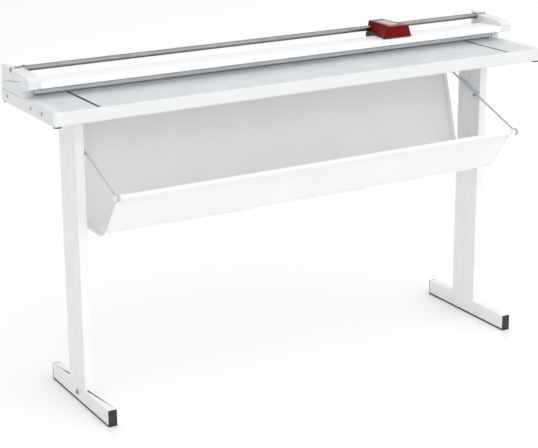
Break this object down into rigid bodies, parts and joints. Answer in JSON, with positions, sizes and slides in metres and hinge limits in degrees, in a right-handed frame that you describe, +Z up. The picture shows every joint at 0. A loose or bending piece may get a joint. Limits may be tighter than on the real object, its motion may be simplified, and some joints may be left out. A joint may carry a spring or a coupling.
{
  "type": "rotary paper trimmer",
  "caption": "Long rotary paper trimmer on a two-legged stand: sliding cutting head on a guide rod, pressure beam with paper clamp, grey table and hanging fabric catch basket.",
  "frame": {"origin": "on the floor under the middle of the machine's box", "axes": "+X along the table to the operator's right, +Y away from the operator, +Z up"},
  "size_m": [1.584, 0.44, 0.955],
  "materials": {
    "table_finish": "grey anodised top, white front",
    "white_powder_coat": "fine powder coat",
    "white_extrusion": "white powder coat on aluminium",
    "white_moulding": "fine moulded texture",
    "clamp_aluminium": "satin anodised",
    "blade_steel": "ground and hardened",
    "ground_steel": "ground and polished",
    "grey_wire": "grey coated wire",
    "rail_steel": "light coat",
    "zinc_screws": "zinc plated",
    "spring_steel": "drawn wire",
    "red_gloss": "high gloss",
    "grey_panel": "satin",
    "black_moulding": "fine moulded texture",
    "carrier_aluminium": "as machined",
    "bronze_bush": "sintered",
    "black_rubber": "matt",
    "white_fabric": "close plain weave"
  },
  "bodies": {
    "stand": {"arm_pivot_pins": "zinc_screws", "arm_rest_studs": "zinc_screws", "basket_fabric": "white_fabric", "basket_rear_rail": "rail_steel", "bracket_screws": "zinc_screws", "counter_blade": "blade_steel", "counter_blade_screws": "zinc_screws", "foot_bolts": "zinc_screws", "guide_rod": "ground_steel", "hanger_screws": "zinc_screws", "left_alignment_strip": "black_moulding", "left_basket_hanger": "white_powder_coat", "left_bracket": "white_moulding", "left_end_cap": "white_moulding", "left_end_cap_screws": "zinc_screws", "left_floor_strip": "black_rubber", "left_foot_tube": "white_powder_coat", "left_front_foot_cap": "black_moulding", "left_leg": "white_powder_coat", "left_rear_foot_cap": "black_moulding", "left_rod_collar": "ground_steel", "leg_bolts": "zinc_screws", "pressure_beam": "white_extrusion", "right_alignment_strip": "black_moulding", "right_basket_hanger": "white_powder_coat", "right_bracket": "white_moulding", "right_end_cap": "white_moulding", "right_end_cap_screws": "zinc_screws", "right_floor_strip": "black_rubber", "right_foot_tube": "white_powder_coat", "right_front_foot_cap": "black_moulding", "right_leg": "white_powder_coat", "right_rear_foot_cap": "black_moulding", "right_rod_collar": "ground_steel", "rod_end_screws": "zinc_screws", "table_board": "table_finish", "table_rubber_feet": "black_rubber"},
    "cutting_head": {"head_casing": "red_gloss", "head_inlay": "grey_panel", "head_base": "black_moulding", "blade_guard": "black_moulding", "blade_carrier": "carrier_aluminium", "rod_bushes": "bronze_bush", "blade_spring": "spring_steel", "roller_axles": "zinc_screws"},
    "cutting_wheel": {"rotary_blade": "blade_steel", "blade_axle": "zinc_screws"},
    "left_roller_wheel": {"left_roller": "black_moulding"},
    "right_roller_wheel": {"right_roller": "black_moulding"},
    "paper_clamp": {"clamp_strip": "clamp_aluminium", "clamp_shoulder_screws": "zinc_screws", "clamp_lift_springs": "spring_steel"},
    "basket_frame": {"left_basket_arm": "grey_wire", "right_basket_arm": "grey_wire", "basket_front_rod": "rail_steel", "front_rod_knobs": "white_moulding", "basket_front_hem": "white_fabric"}
  },
  "joints": [
    {"name": "head_slide", "type": "slide", "parent": "stand", "child": "cutting_head", "axis": [1, 0, 0], "range_m": [-1.083, 0.316]},
    {"name": "blade_spin", "type": "hinge", "parent": "cutting_head", "child": "cutting_wheel", "pos_m": [0.388, 0.111, 0.9042], "axis": [0, 1, 0], "range_deg": [-2100, 620]},
    {"name": "left_roller_spin", "type": "hinge", "parent": "cutting_head", "child": "left_roller_wheel", "pos_m": [0.358, 0.031, 0.92606], "axis": [0, 1, 0], "range_deg": [-10460, 3040]},
    {"name": "right_roller_spin", "type": "hinge", "parent": "cutting_head", "child": "right_roller_wheel", "pos_m": [0.418, 0.031, 0.92606], "axis": [0, 1, 0], "range_deg": [-10460, 3040]},
    {"name": "clamp_press", "type": "slide", "parent": "stand", "child": "paper_clamp", "axis": [0, 0, -1], "range_m": [0, 0.0022], "stiffness_N_per_m": 2500, "springref_m": -0.014},
    {"name": "basket_lift", "type": "hinge", "parent": "stand", "child": "basket_frame", "pos_m": [0, 0.15, 0.79], "axis": [-1, 0, 0], "range_deg": [0, 26]}
  ],
  "couplings": [
    {"joint": "blade_spin", "follows": "head_slide", "rad_per_m": 33.333},
    {"joint": "left_roller_spin", "follows": "head_slide", "rad_per_m": 166.67},
    {"joint": "right_roller_spin", "follows": "head_slide", "rad_per_m": 166.67}
  ]
}
